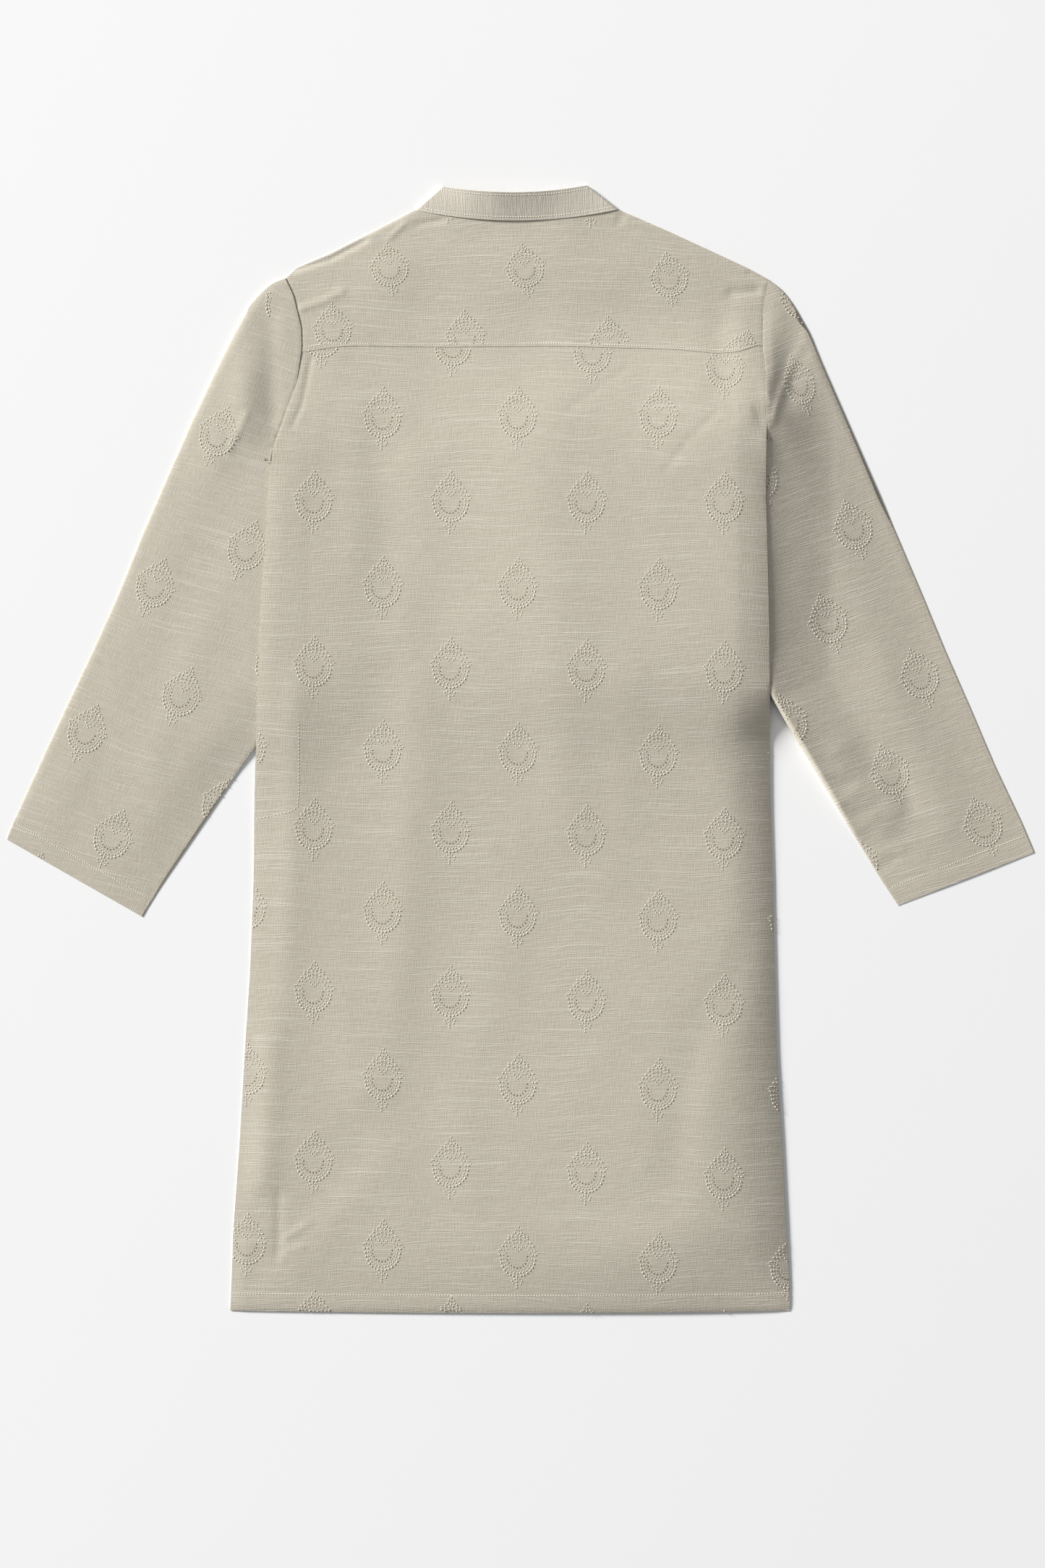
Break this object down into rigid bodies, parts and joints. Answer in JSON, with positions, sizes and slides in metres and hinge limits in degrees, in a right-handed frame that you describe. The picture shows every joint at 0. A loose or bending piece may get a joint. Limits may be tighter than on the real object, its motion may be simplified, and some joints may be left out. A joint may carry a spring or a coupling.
{
  "type": "kurta tunic, laid flat",
  "caption": "Long-sleeved, knee-length cotton kurta tunic with a band collar and a back yoke, laid flat on its front with the back up.",
  "frame": {"origin": "centre of the bounding box in plan, on the plane that the garment lies on", "axes": "+Y up the body towards the collar, +X towards the wearer's right sleeve, which is on the right as seen from above, +Z out of the surface it lies on"},
  "size_m": [0.925, 1.014, 0.0132],
  "materials": {
    "cloth": "matt slub cotton",
    "yoke_cloth": "matt slub cotton",
    "sleeve_cloth": "matt slub cotton",
    "band_cloth": "matt slub cotton, two plies",
    "shell": "satin"
  },
  "bodies": {
    "root": {"back_panel": "cloth", "back_yoke": "yoke_cloth", "front_panel": "cloth", "sleeve_left": "sleeve_cloth", "sleeve_right": "sleeve_cloth", "collar_band": "band_cloth", "placket_over": "band_cloth", "placket_under": "band_cloth", "button_1": "shell", "button_2": "shell", "button_3": "shell"}
  },
  "joints": []
}
